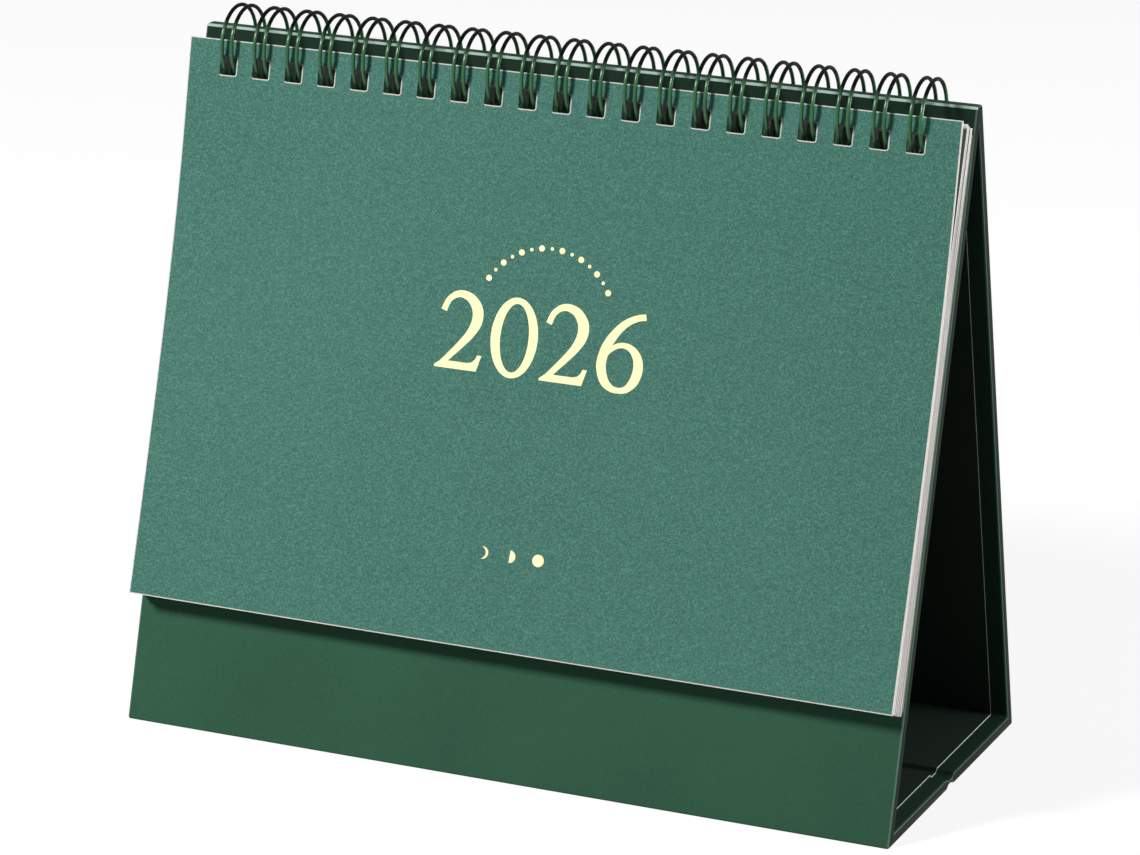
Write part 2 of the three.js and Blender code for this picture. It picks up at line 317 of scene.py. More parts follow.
class Finish:
    """One material or world, built node by node."""

    def __init__(self, owner):
        owner.use_nodes = True
        self.owner = owner
        self.tree = owner.node_tree
        self.tree.nodes.clear()

    def node(self, kind, settings=None, inputs=None, output=0):
        node = self.tree.nodes.new(kind)
        for key, value in (settings or {}).items():
            setattr(node, key, value)
        for key, value in (inputs or {}).items():
            if isinstance(value, Value):
                self.tree.links.new(value.socket, node.inputs[key])
            else:
                node.inputs[key].default_value = value
        return Value(self.tree, node.outputs[output]) if node.outputs else None

    def place(self):
        return self.node("ShaderNodeTexCoord", output="Object")

    def axis(self, name):
        """One coordinate of the place on the piece."""
        return self.node("ShaderNodeSeparateXYZ", inputs={"Vector": self.place()},
                         output=name)

    def noise(self, size, detail=2.0, roughness=0.5, stretch=(1, 1, 1)):
        """Noise whose lumps are about one size across, in metres, from 0 to 1."""
        scaled = self.node("ShaderNodeMapping", inputs={
            "Vector": self.place(), "Scale": stretch})
        return self.node("ShaderNodeTexNoise", inputs={
            "Vector": scaled, "Scale": 1 / size, "Detail": detail, "Roughness": roughness})

    def ramp(self, value, low, high):
        """Spreads the part of a value between low and high over 0 to 1."""
        return self.node("ShaderNodeMapRange", inputs={
            "Value": value, "From Min": low, "From Max": high})

    def mix(self, share, first, second):
        """A colour between two colours."""
        return self.node("ShaderNodeMix", {"data_type": "RGBA"},
                         {0: share, 6: first, 7: second}, output=2)

    def bump(self, height, depth):
        """Relief of a real depth in metres."""
        return self.node("ShaderNodeBump", inputs={
            "Height": height, "Strength": 1.0, "Distance": depth})

    def surface(self, **sockets):
        """Ends the material in a Principled shader with these sockets."""
        inputs = {key.replace("_", " ").title().replace("Ior", "IOR"): value
                  for key, value in sockets.items()}
        shader = self.node("ShaderNodeBsdfPrincipled", inputs=inputs)
        self.node("ShaderNodeOutputMaterial", inputs={"Surface": shader})
        return self.owner


def new_finish(name):
    return Finish(bpy.data.materials.new(name))


def tone(red, green, blue):
    """A screen colour from 0 to 255, as the linear colour that a shader takes."""
    def linear(value):
        value /= 255
        return value / 12.92 if value <= 0.04045 else ((value + 0.055) / 1.055) ** 2.4
    return (linear(red), linear(green), linear(blue), 1)


print("middle grey is", [round(v, 3) for v in tone(128, 128, 128)], "to a shader")

# %% [markdown]
# ### Case paper
#
# The tent is wrapped in a dyed green paper with a fine pressed grain and a dull sheen. The
# grain is a Voronoi pattern of shallow pebbles, and slow noise lets the green wander.
# Towards the ridge the paper is painted darker, as painted shade, and the end faces are
# painted nearly black, also painted shade. Along the folds at the ridge and the ends a pale
# tone is a painted highlight, broken up by noise. The paper turned in to the hollow is a
# darker copy of the same paper, painted shade for the inside of the tent.

# %% Case paper
# Painted shade: the heights over which the paper darkens towards the ridge.
PAINTED_RIDGE_SHADE = (0.93 * TENT_HEIGHT, 0.97 * TENT_HEIGHT)
# Painted shade: the outermost fraction of a millimetre, the end faces, goes nearly black.
PAINTED_END_SHADE = (HALF_WIDTH - 0.16 * MM, HALF_WIDTH - 0.04 * MM)
# Painted highlights: a pale line along the front fold of the ridge and along the end folds.
FOLD_HIGHLIGHT_BAND = 0.62 * MM
FOLD_HIGHLIGHT_TO_Y = -1.3 * MM
END_HIGHLIGHT_BAND = 0.5 * MM
END_HIGHLIGHT_SHARE = 0.15


def wrap_finish(name, shades, fleck, ridge_shade_tone, end_shade_tone, highlight_tone):
    """The wrap's paper in one set of greens, with the tones of its painted shade and painted
    highlights.
    """
    finish = new_finish(name)
    cloud = finish.ramp(finish.noise(45 * MM, detail=3), 0.3, 0.7)
    grain = finish.noise(0.5 * MM, detail=3, roughness=0.6)
    pebble = finish.node("ShaderNodeTexVoronoi", inputs={
        "Vector": finish.place(), "Scale": 1 / (0.7 * MM)}, output="Distance")
    across, height = abs(finish.axis("X")), finish.axis("Z")
    # Painted shade: the paper goes darker towards the ridge.
    ridge = finish.ramp(height, *PAINTED_RIDGE_SHADE)
    # Painted shade on the end faces.
    end = finish.ramp(across, *PAINTED_END_SHADE)
    # Painted highlights along the front fold of the ridge and the folds at the ends.
    front_fold_highlight = (height > TENT_HEIGHT - FOLD_HIGHLIGHT_BAND) * (finish.axis("Y") < FOLD_HIGHLIGHT_TO_Y)
    end_fold_highlight = (across > HALF_WIDTH - END_HIGHLIGHT_BAND) * END_HIGHLIGHT_SHARE
    # Noise that breaks up the painted highlight.
    highlight_breaks = finish.ramp(finish.noise(6 * MM, detail=3), 0.25, 0.5)
    colour = finish.mix(cloud, *shades)
    colour = finish.mix(finish.ramp(grain, 0.35, 0.75) * 0.35, colour, fleck)
    colour = finish.mix(ridge * 0.9, colour, ridge_shade_tone)
    colour = finish.mix(front_fold_highlight * highlight_breaks, colour, highlight_tone)
    colour = finish.mix(end_fold_highlight, colour, highlight_tone)
    return finish.surface(
        base_color=finish.mix(end, colour, end_shade_tone),
        roughness=0.5 + grain * 0.14,
        specular_ior_level=0.06,
        normal=finish.bump(grain * 0.6 + pebble * 0.4, 0.05 * MM),
    )


# The outside paper, with its painted shade and painted highlight tones.
case_paper = wrap_finish(
    "wrap_paper_green", (tone(50, 91, 70), tone(57, 100, 77)), fleck=tone(73, 118, 93),
    ridge_shade_tone=tone(10, 30, 20), end_shade_tone=tone(9, 20, 14), highlight_tone=tone(178, 208, 193))
# A darker copy of the same paper: painted shade for the inside of the tent.
case_shaded_inside = wrap_finish(
    "wrap_paper_shaded_inside", (tone(23, 44, 33), tone(27, 50, 37)), fleck=tone(34, 58, 45),
    ridge_shade_tone=tone(5, 16, 10), end_shade_tone=tone(9, 20, 14), highlight_tone=tone(60, 84, 72))
print("finishes", case_paper.name, case_shaded_inside.name)

# %% [markdown]
# ### Liner paper and grey board
#
# Inside, a nearly black green sheet is pasted over the turned-in wrap. Its cut ends show
# as a thin pale line, so the last twentieth of a millimetre at both ends takes the colour
# of the paper's core. The board is raw and grey, with darker fibres. It shows in the walls
# of the tent's slots, and as the card behind the last leaf.

# %% Liner paper and grey board
LINER_CUT = 0.05 * MM
LINER_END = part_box("case_liner")[1].x - LINER_CUT
finish = new_finish("liner_paper_dark")
cut_end = abs(finish.axis("X")) > LINER_END
fibre = finish.noise(0.35 * MM, detail=4, roughness=0.65)
cloud = finish.ramp(finish.noise(30 * MM), 0.3, 0.7)
dark = finish.mix(cloud, tone(29, 41, 33), tone(36, 50, 41))
dark = finish.mix(finish.ramp(fibre, 0.4, 0.8) * 0.3, dark, tone(26, 42, 33))
liner_paper = finish.surface(
    base_color=finish.mix(cut_end, dark, tone(196, 208, 199)),
    roughness=0.78 + fibre * 0.15,
    specular_ior_level=0.12,
    normal=finish.bump(fibre, 0.03 * MM),
)

finish = new_finish("greyboard_raw")
fibre = finish.noise(0.5 * MM, detail=5, roughness=0.7, stretch=(0.4, 1, 1))
speck = finish.ramp(finish.noise(0.22 * MM, detail=1), 0.62, 0.7)
grey = finish.mix(finish.ramp(fibre, 0.3, 0.7), tone(124, 120, 112), tone(158, 154, 146))
greyboard = finish.surface(
    base_color=finish.mix(speck * 0.5, grey, tone(84, 80, 74)),
    roughness=0.86 + fibre * 0.1,
    normal=finish.bump(fibre, 0.05 * MM),
)
print("finishes", liner_paper.name, greyboard.name)

# %% [markdown]
# ### Cover card
#
# The cover is a teal card with a pearl sheen: seen close, its surface is a fine leathery
# grain with small paler and bluer flecks in it. Two noises below a millimetre mix the
# flecks in, slow noise makes the teal wander over the sheet, and the same fine noise makes
# the relief and the gloss, so that a fleck is also a spot that shines a little more. The
# core of the card is white, and shows wherever the card is cut or punched.

# %% Cover card
finish = new_finish("cover_card_teal")
cloud = finish.ramp(finish.noise(70 * MM, detail=2), 0.3, 0.7)
grain = finish.noise(0.42 * MM, detail=3, roughness=0.6)
fleck = finish.noise(1.1 * MM, detail=2, roughness=0.55)
crease = finish.node("ShaderNodeTexVoronoi", {"feature": "F2"}, {
    "Vector": finish.place(), "Scale": 1 / (0.9 * MM)}, output="Distance")
teal = finish.mix(cloud, tone(49, 103, 86), tone(56, 110, 94))
teal = finish.mix(finish.ramp(grain, 0.42, 0.64) * 0.8, teal, tone(92, 152, 136))
teal = finish.mix(finish.ramp(fleck, 0.5, 0.68) * 0.55, teal, tone(48, 104, 104))
cover_card = finish.surface(
    base_color=teal,
    roughness=0.42 + grain * 0.2,
    specular_ior_level=0.25,
    normal=finish.bump(grain * 0.6 + crease * 0.4, 0.12 * MM),
)

finish = new_finish("cover_card_core")
fibre = finish.noise(0.3 * MM, detail=3)
white = finish.mix(finish.ramp(fibre, 0.35, 0.7), tone(226, 222, 214), tone(242, 239, 232))
cover_core = finish.surface(
    base_color=white,
    roughness=0.75 + fibre * 0.15,
    normal=finish.bump(fibre, 0.02 * MM),
)
print("finishes", cover_card.name, cover_core.name)

# %% [markdown]
# ### Leaf paper
#
# The leaves are uncoated white paper. Each is printed with a plain month grid, which shows
# when the cover is raised: thin grey rules round seven columns and six rows of days, and a
# pale green band for the heads of the columns. The rules are drawn with sums on the
# position on the panel, so the lines stay sharp at any distance. The cut edges of the
# block are a separate finish, with long faint streaks, as stacked paper has.

# %% Leaf paper
GRID_HALF_WIDTH = 84 * MM
GRID_FOOT = 40 * MM
GRID_HEAD = 130 * MM
HEAD_BAND = 8 * MM
RULE = 0.3 * MM
GRID_COLUMNS = 7
GRID_ROWS = 6

finish = new_finish("leaf_paper_white")
across = finish.axis("X")
up = finish.axis("Z") * math.cos(LEAN) + (finish.axis("Y") + HALF_DEPTH) * math.sin(LEAN)


def ruled(value, low, high, count):
    """1 on the lines that part a stretch into so many equal cells."""
    step = (high - low) / count
    cell = (value - low) / step
    return (abs(cell - cell.math("ROUND", cell)) * step) < RULE / 2


in_grid = (abs(across) < GRID_HALF_WIDTH + RULE / 2) * (up > GRID_FOOT - RULE / 2) * (
    up < GRID_HEAD + HEAD_BAND + RULE / 2)
columns = ruled(across, -GRID_HALF_WIDTH, GRID_HALF_WIDTH, GRID_COLUMNS)
rows = ruled(up, GRID_FOOT, GRID_HEAD, GRID_ROWS)
top_rule = abs(up - (GRID_HEAD + HEAD_BAND)) < RULE / 2
rows = rows * (up < GRID_HEAD + RULE) + top_rule
rules = in_grid * (columns * (up < GRID_HEAD) + rows)
band = in_grid * (up > GRID_HEAD)
fibre = finish.noise(0.4 * MM, detail=4, roughness=0.6)
paper = finish.mix(finish.ramp(fibre, 0.35, 0.7), tone(229, 226, 219), tone(241, 238, 232))
paper = finish.mix(band * 0.5, paper, tone(122, 164, 148))
leaf_paper = finish.surface(
    base_color=finish.mix(rules, paper, tone(120, 132, 126)),
    roughness=0.78 + fibre * 0.12,
    specular_ior_level=0.1,
    normal=finish.bump(fibre, 0.02 * MM),
)

finish = new_finish("leaf_paper_edges")
fibre = finish.noise(0.3 * MM, detail=3)
stack = finish.noise(3 * MM, detail=2, stretch=(1, 1, 0.15))
white = finish.mix(finish.ramp(stack, 0.3, 0.7), tone(242, 236, 231), tone(252, 250, 247))
leaf_edges = finish.surface(
    base_color=white,
    roughness=0.85,
    specular_ior_level=0.1,
    normal=finish.bump(fibre, 0.03 * MM),
)
print("finishes", leaf_paper.name, leaf_edges.name)

# %% [markdown]
# ### Coated wire and foil
#
# The wire has a glossy green coat. On the tops of the loops, above the ridge, the green is
# painted nearly black and the coat is left off, as painted shade. The print is pale gold
# foil, pressed on warm: a dull sheen with a faint mottle where it took less well.

# %% Coated wire and foil
TOP_SHADE_FROM = 1 * MM
TOP_SHADE_TO = 3.5 * MM

finish = new_finish("coated_wire_green")
skin = finish.noise(2.5 * MM, detail=3)
# Painted shade: the loops go nearly black above the ridge, and lose their coat.
loop_top_shade = finish.ramp(finish.axis("Z"), TENT_HEIGHT + TOP_SHADE_FROM, TENT_HEIGHT + TOP_SHADE_TO)
green = finish.mix(finish.ramp(skin, 0.3, 0.7), tone(20, 90, 44), tone(32, 112, 58))
coated_wire = finish.surface(
    base_color=finish.mix(loop_top_shade, green, tone(6, 14, 10)),
    roughness=0.36 + skin * 0.12,
    specular_ior_level=0.03,
    coat_weight=1 - loop_top_shade,
    coat_roughness=0.2,
    normal=finish.bump(skin, 0.01 * MM),
)

finish = new_finish("foil_pale_gold")
mottle = finish.noise(0.6 * MM, detail=3)
gold = finish.mix(finish.ramp(mottle, 0.3, 0.7), tone(251, 248, 186), tone(254, 252, 198))
foil = finish.surface(
    base_color=gold,
    roughness=0.36 + mottle * 0.12,
    metallic=0.22,
    normal=finish.bump(mottle, 0.01 * MM),
)
print("finishes", coated_wire.name, foil.name)

# %% [markdown]
# ## The punch
#
# One tool punches every slot: a cube as large as one slot, its four long edges rounded
# with a bevel, and repeated along the ridge by an Array modifier. The same punch cuts the
# boards, the leaves and the cover, each at the height where the ring passes that layer.

# %% Punch
PUNCH_REACH = 2 * MM


def punch(name, up, level, reach, corner, material, width=SLOT_WIDTH, height=SLOT_HEIGHT):
    """Cutters for all loops, in a panel's frame, round the level of a layer."""
    first = loop_centres()[0]
    cutter = add_box(
        name,
        (first - width / 2, level - reach, up - height / 2),
        (first + width / 2, level + reach, up + height / 2),
    )

    def along_y(edge):
        a, b = (cutter.data.vertices[i].co for i in edge.vertices)
        return abs(a.y - b.y) > reach

    pick(cutter, "EDGE", along_y)
    bpy.ops.mesh.bevel(offset=corner, segments=ROUND_SEGMENTS, affect="EDGES")
    leave_edit_mode()
    apply(cutter, "ARRAY", count=LOOPS, use_relative_offset=False,
          use_constant_offset=True, constant_offset_displace=(LOOP_PITCH, 0, 0))
    cutter.data.materials.append(material)
    return cutter


print("each punch cuts", LOOPS, "slots over", round((LOOPS - 1) * LOOP_PITCH / MM, 1), "mm")

# %% [markdown]
# ## The tent
#
# The case is five boards in one sheet of paper. From outside it is one folded form whose
# folds are rounded, because paper over a board edge can't turn sharply. It is made as a
# cube as large as the tent, its top pulled together to the width of the ridge, less the
# same form a wall's thickness further in. The crease along the base, where two boards
# meet, is pressed in from both sides. A bevel then rounds every fold. The wrap and its
# boards become one piece, since the boards show only in the walls of the slots.

# %% Tent case
FOLD_RADIUS = 0.6 * MM
FOLD_ANGLE = 35
PAST_ENDS = HALF_WIDTH * 1.1
PAST_MOUTH = 0.5
BOARD_SLOT_CORNER = 0.3 * MM


def tent_block(name, depth, reach, material):
    """The tent's form at a depth inside its outer face, as a solid wedge along X."""
    slope = depth / math.cos(LEAN)
    foot = HALF_DEPTH - slope - depth * math.tan(LEAN)
    closes = (HALF_DEPTH - slope) / math.tan(LEAN)
    top = min(TENT_HEIGHT - depth, closes)
    half_top = max(0, HALF_DEPTH - slope - top * math.tan(LEAN))
    block = add_box(name, (-reach, -foot, depth), (reach, foot, top))
    pick(block, "VERT", lambda vertex: vertex.co.z > TENT_HEIGHT / 2)
    bpy.ops.transform.resize(value=(1, half_top / foot, 1), center_override=(0, 0, top))
    seal(NEAR)
    block.data.materials.append(material)
    return block


def crease_bar(name, floor, mouth, material):
    """A bar with sloping sides, which presses the crease into one side of the base."""
    beyond = mouth + (mouth - floor) * PAST_MOUTH
    widening = (CREASE_MOUTH - CREASE_FLOOR) * (1 + PAST_MOUTH)
    low, high = sorted((floor, beyond))
    bar = add_box(name, (-PAST_ENDS, CREASE_Y - CREASE_FLOOR / 2, low),
                  (PAST_ENDS, CREASE_Y + CREASE_FLOOR / 2, high))
    pick(bar, "VERT", lambda vertex: abs(vertex.co.z - beyond) < NEAR)
    bpy.ops.transform.resize(value=(1, 1 + widening / CREASE_FLOOR, 1),
                             center_override=(0, CREASE_Y, beyond))
    seal(NEAR)
    bar.data.materials.append(material)
    return bar


case = tent_block("tent_case", 0, HALF_WIDTH, case_paper)
# The hollow's faces take the darker copy of the paper, painted shade.
cut(case, tent_block("hollow", WALL, PAST_ENDS, case_shaded_inside))
cut(case, crease_bar("crease_under", CREASE_DEPTH, 0, case_paper))
cut(case, crease_bar("crease_over", WALL - CREASE_DEPTH, WALL, case_shaded_inside))
apply(case, "BEVEL", width=FOLD_RADIUS, segments=ROUND_SEGMENTS, limit_method="ANGLE",
      angle_limit=math.radians(FOLD_ANGLE))
for panel, level in ((FRONT, BOARD_TO / 2), (BACK, -BOARD_TO / 2)):
    cutter = punch("case_punch", ring_height(panel, level), level, WALL,
                   BOARD_SLOT_CORNER, greyboard)
    place(cutter, panel)
    cut(case, cutter)
apply(case, "TRIANGULATE", min_vertices=5)
smooth(case, degrees=40)
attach(case, "stand")
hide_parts("case_wrap", "front_board", "back_board", "base_front_board",
            "base_rear_board", "ridge_strip")
report(case)

# %% [markdown]
# ## The sheet pasted inside
#
# The liner's CAD solid already has the right shape, a thin folded sheet that stops short
# of both ends. It stays, and so does the card behind the last leaf. They only get their
# finish.

# %% Carried-over nodes
for node, material in (("case_liner", liner_paper), ("back_card", greyboard)):
    part = frame["nodes"][node]
    part.data.materials.clear()
    part.data.materials.append(material)
    print("kept", node, "with", material.name)

# %% [markdown]
# ## Bending sheets
#
# The cover and the leaves are cut and punched flat, and bent afterwards, as real sheets
# are. A smooth line through five measured heights says how far the cover stands off the
# panel: it is hollow towards the stand. A lattice, a coarse cage round the flat sheet,
# carries that line over to the mesh: each of its rows moves off the panel by the height
# of the line there.

# %% Sheets and their bow
BOW_ROWS = 65
CAGE_DEPTH = 20 * MM
CAGE_WIDTH = HALF_WIDTH * 2.2
LIFT_STRETCHES = len(COVER_LIFT) - 1
LIFT_STEPS = 24


def smooth_line(points, steps):
    """A line through every point, with so many steps from each to the next."""
    line = []
    for i in range(len(points) - 1):
        before, a = points[max(i - 1, 0)], points[i]
        b, after = points[i + 1], points[min(i + 2, len(points) - 1)]
        for k in range(steps):
            t = k / steps
            row = []
            for p, q, r, s in zip(before, a, b, after):
                start, end = (r - p) / 2, (s - q) / 2
                row.append((2 * q - 2 * r + start + end) * t ** 3
                           + (3 * r - 3 * q - 2 * start - end) * t ** 2 + start * t + q)
            line.append(tuple(row))
    return line + [tuple(points[-1])]


cover_slope = (COVER_LIFT[0] - COVER_LIFT[1]) * MM * LIFT_STRETCHES / COVER_LENGTH
cover_level = -(COVER_LIFT[0] * MM - cover_slope * (SLOT_MARGIN + SLOT_HEIGHT / 2) - COVER / 2)
cover_slot = ring_height(FRONT, cover_level)
cover_head = cover_slot + SLOT_HEIGHT / 2 + SLOT_MARGIN
cover_foot = cover_head - COVER_LENGTH
cover_line = smooth_line([
    (cover_head - COVER_LENGTH * i / LIFT_STRETCHES, lift * MM)
    for i, lift in enumerate(COVER_LIFT)], LIFT_STEPS)


def cover_lift(up):
    """How far the cover's face stands off the front panel, at a height up the slope."""
    for (above, start), (below, end) in zip(cover_line, cover_line[1:]):
        if up >= below:
            share = min(1, (above - up) / (above - below))
            return start + (end - start) * share
    return cover_line[-1][1]


def flat_sheet(name, half_width, thickness, foot, head, rows, material):
    """A flat sheet in the panel's frame, its back on the panel, cut into rows."""
    sheet = add_box(name, (-half_width, -thickness, foot), (half_width, 0, head))

    def upright(edge):
        a, b = (sheet.data.vertices[i].co for i in edge.vertices)
        return abs(a.z - b.z) > (head - foot) / 2

    pick(sheet, "EDGE", upright)
    bpy.ops.mesh.subdivide(number_cuts=rows)
    leave_edit_mode()
    sheet.data.materials.append(material)
    return sheet


def bend(sheet, foot, head, lift):
    """Moves a sheet off the panel by lift(height), with a lattice."""
    bpy.ops.object.select_all(action="DESELECT")
    bpy.ops.object.add(type="LATTICE", location=(0, 0, (foot + head) / 2))
    cage = bpy.context.object
    cage.scale = (CAGE_WIDTH, CAGE_DEPTH, head - foot)
    cage.data.points_w = BOW_ROWS
    for way in ("u", "v", "w"):
        setattr(cage.data, f"interpolation_type_{way}", "KEY_LINEAR")
    for point in cage.data.points:
        up = (foot + head) / 2 + point.co.z * (head - foot)
        point.co_deform.y = point.co.y - lift(up) / CAGE_DEPTH
    bpy.context.view_layer.update()
    apply(sheet, "LATTICE", object=cage)
    bpy.data.objects.remove(cage)


print("cover from", round(cover_foot / MM, 2), "to", round(cover_head / MM, 2),
      "mm up the slope")

# %% [markdown]
# ## The cover
#
# One card: a thin box, cut into rows so that it can bend, punched, and bowed. Both of its
# faces are teal. Its edges and the walls of its slots are the white core. A thin white line
# round the card and at the foot and the right of each slot is partly that core and partly a
# painted highlight on the cut edge: the face is inset by the width of that line, wider than
# the core. On the other two sides of a slot the teal reaches round the edge, painted shade.

# %% Cover
COVER_ROWS = 40
CORE_AND_HIGHLIGHT_RIM = 0.24 * MM
ON_WALL = 0.1 * MM
SQUARE_ON = 0.9
cover = flat_sheet("cover_card", SHEET_HALF_WIDTH, COVER, cover_foot, cover_head,
                   COVER_ROWS, cover_core)
cut(cover, punch("cover_punch", cover_slot, -COVER / 2, PUNCH_REACH, SLOT_CORNER, cover_core))
paint(cover, cover_card, lambda face: abs(face.normal.y) > SQUARE_ON)
# The white rim: white core widened into a painted highlight on the cut edge.
pick(cover, "FACE", lambda face: face.normal.y < -SQUARE_ON)
bpy.ops.mesh.inset(thickness=CORE_AND_HIGHLIGHT_RIM, use_select_inset=True)
assign(cover, cover_core)


def shaded_slot_rim(face):
    """The rim at the head and the left side of a slot, painted teal as painted shade."""
    across = min((face.center.x - x for x in loop_centres()), key=abs)
    up = face.center.z - cover_slot
    near = abs(across) < SLOT_WIDTH and abs(up) < SLOT_HEIGHT / 2 + MM
    return near and (across < ON_WALL - SLOT_WIDTH / 2 or up > SLOT_HEIGHT / 2 - ON_WALL)


# Painted shade: teal over the white rim at the head and the left side of each slot.
paint(cover, cover_card, shaded_slot_rim)
apply(cover, "TRIANGULATE", min_vertices=5)
bend(cover, cover_foot, cover_head, lambda up: cover_lift(up) - COVER)
place(cover, FRONT)
smooth(cover, degrees=30)
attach(cover, "cover")
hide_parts("front_cover")
report(cover)

# %% [markdown]
# ## The leaves
#
# From the side the block shows what it is made of. Below, the leaves fan out between the
# stand and the bowed cover. Towards the ridge they part from the cover and gather into two
# groups with a gap between them, and their heads are staggered, because each hangs on the
# ring at its own place. One leaf is therefore cut and punched, copied for the whole block,
# and each copy is bent to its own share of the room, moved to its own height on the ring,
# and shifted sideways by a hair. The slots are a little larger than the cover's, so that
# no white rim shows through those.

# %% Leaves
LEAVES = 13
LEAF = 0.22 * MM
LEAF_SLOT_WIDTH = 5.2 * MM
LEAF_SLOT_HEIGHT = 7 * MM
HEAD_ABOVE_RING = 7.55 * MM
LEAF_ROWS = 24
INNER_GROUP = 6
GROUP_GAP = 0.75 * MM
SIDEWAYS = 0.12
part_height = cover_head - COVER_LENGTH * LEAVES_PART_AT
leaf_head_up = ring_height(FRONT, -(LEAVES_BACK + LEAVES_HEAD_LIFT) / 2) + HEAD_ABOVE_RING


def block_front(up):
    """How far the block's front stands off the panel."""
    under_cover = cover_lift(max(min(up, part_height), cover_foot)) - COVER - SHEET_GAP
    if up <= part_height:
        return under_cover
    share = min(1, (up - part_height) / (leaf_head_up - part_height))
    return under_cover + (LEAVES_HEAD_LIFT - under_cover) * share


def leaf_back(index):
    """The line of one leaf's back in the block."""
    def lift(up):
        room = block_front(up) - LEAVES_BACK
        spare = room - LEAVES * LEAF
        near_head = min(1, max(0, (up - part_height) / (leaf_head_up - part_height)))
        gathered = math.sqrt(near_head)
        even = spare * (index + 0.5) / LEAVES
        loose = max(0, spare - GROUP_GAP) * index / (LEAVES - 1)
        group = loose if index < INNER_GROUP else spare - max(0, spare - GROUP_GAP) + loose
        return LEAVES_BACK + index * LEAF + even + (group - even) * gathered
    return lift


template = flat_sheet("leaf_template", SHEET_HALF_WIDTH, LEAF, 0, LEAF_LENGTH,
                      LEAF_ROWS, leaf_paper)
slot_up = LEAF_LENGTH - HEAD_ABOVE_RING + (LEAF_SLOT_HEIGHT - SLOT_HEIGHT) / 2
cut(template, punch("leaf_punch", slot_up, -LEAF / 2, PUNCH_REACH, SLOT_CORNER, leaf_edges,
                    LEAF_SLOT_WIDTH, LEAF_SLOT_HEIGHT))
paint(template, leaf_edges, lambda face: abs(face.normal.y) < 0.5)
apply(template, "TRIANGULATE", min_vertices=5)

leaves = []
for index in range(LEAVES):
    leaf = template.copy()
    leaf.data = template.data.copy()
    bpy.context.collection.objects.link(leaf)
    line = leaf_back(index)
    level = line(leaf_head_up - HEAD_ABOVE_RING) + LEAF / 2
    foot = ring_height(FRONT, -level) + HEAD_ABOVE_RING - LEAF_LENGTH
    sideways = random.uniform(-SIDEWAYS, SIDEWAYS) * MM
    place(leaf, Matrix.Translation((sideways, 0, foot)))
    bend(leaf, foot, foot + LEAF_LENGTH, line)
    leaves.append(leaf)
bpy.data.objects.remove(template)
block = gather("month_leaves", leaves)
place(block, FRONT)
smooth(block, degrees=30)
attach(block, "stand")
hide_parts("page_block")
report(block)

# %% [markdown]
# ## The twin-loop wire
#
# The whole binding is one wire. Unrolled flat it is a comb: a straight spine from which
# hairpins stick out, one for each slot. Rolled into a ring, the tips of the hairpins close
# against the spine, which hides inside the tent. The comb's line is written as points,
# rolled round the ring, and given its thickness by a round bevel on the curve.

# %% Binding wire
HAIRPIN_STEPS = 34
TIP_STEPS = 10
BEND_STEPS = 5
WIRE_ROUNDNESS = 4


def add_curve(name, lines, closed):
    """A curve through the (x, y, z) points of each line."""
    bpy.ops.object.select_all(action="DESELECT")
    bpy.ops.curve.primitive_nurbs_path_add(location=(0, 0, 0))
    piece = bpy.context.object
    piece.name = piece.data.name = name
    piece.data.splines.clear()
    for line in lines:
        spline = piece.data.splines.new("POLY")
        spline.points.add(len(line) - 1)
        for point, position in zip(spline.points, line):
            point.co = (*position, 1)
        spline.use_cyclic_u = closed
    return piece


def as_mesh(curve):
    select_only(curve)
    bpy.ops.object.convert(target="MESH")
    return bpy.context.object


def comb_line(spine_angle, tip_angle):
    """The comb unrolled: X, and the way round the ring."""
    spine, tip = spine_angle * RING_RADIUS, tip_angle * RING_RADIUS
    half = LOOP_GAP / 2
    start, end = spine + SPINE_BEND, tip - half
    line = []

    def arc(x, way, radius, from_angle, to_angle, steps):
        for i in range(steps + 1):
            angle = from_angle + (to_angle - from_angle) * i / steps
            line.append((x + radius * math.cos(angle), way + radius * math.sin(angle)))

    def straight(x, from_way, to_way):
        for i in range(1, HAIRPIN_STEPS):
            line.append((x, from_way + (to_way - from_way) * i / HAIRPIN_STEPS))

    for x in loop_centres():
        arc(x - half - SPINE_BEND, start, SPINE_BEND, -math.pi / 2, 0, BEND_STEPS)
        straight(x - half, start, end)
        arc(x, end, half, math.pi, 0, TIP_STEPS)
        straight(x + half, end, start)
        arc(x + half + SPINE_BEND, start, SPINE_BEND, math.pi, 1.5 * math.pi, BEND_STEPS)
    return line


spine_angle = ring_angle(BACK, -BOARD_TO) - CLOSURE_MARGIN
tip_angle = ring_angle(FRONT, BOARD_TO) + CLOSURE_MARGIN + 2 * math.pi
rolled = [
    (x, RING_CENTRE.y + RING_RADIUS * math.cos(way / RING_RADIUS),
     RING_CENTRE.z + RING_RADIUS * math.sin(way / RING_RADIUS))
    for x, way in comb_line(spine_angle, tip_angle)
]
wire = add_curve("twin_loop_wire", [rolled], closed=False)
wire.data.bevel_depth = WIRE / 2
wire.data.bevel_resolution = WIRE_ROUNDNESS
wire.data.use_fill_caps = True
wire = as_mesh(wire)
wire.data.materials.append(coated_wire)
smooth(wire, degrees=60)
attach(wire, "stand")
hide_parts("binding_wire")
report(wire)

# %% [markdown]
# ## The foil print
#
# The cover carries the year in plain roman figures, a small arc of dots above it, and
# three phases of the moon near its foot. A figure is drawn as a pen draws it: a line
# through a few points, each with the width of the stroke there, thick where the pen comes
# down and thin where it turns. The outline becomes a filled curve with a little thickness,
# strokes that touch are joined by a boolean, and the result is bent with the cover so that
# it lies on the card. The outlines are written in millimetres on the panel.

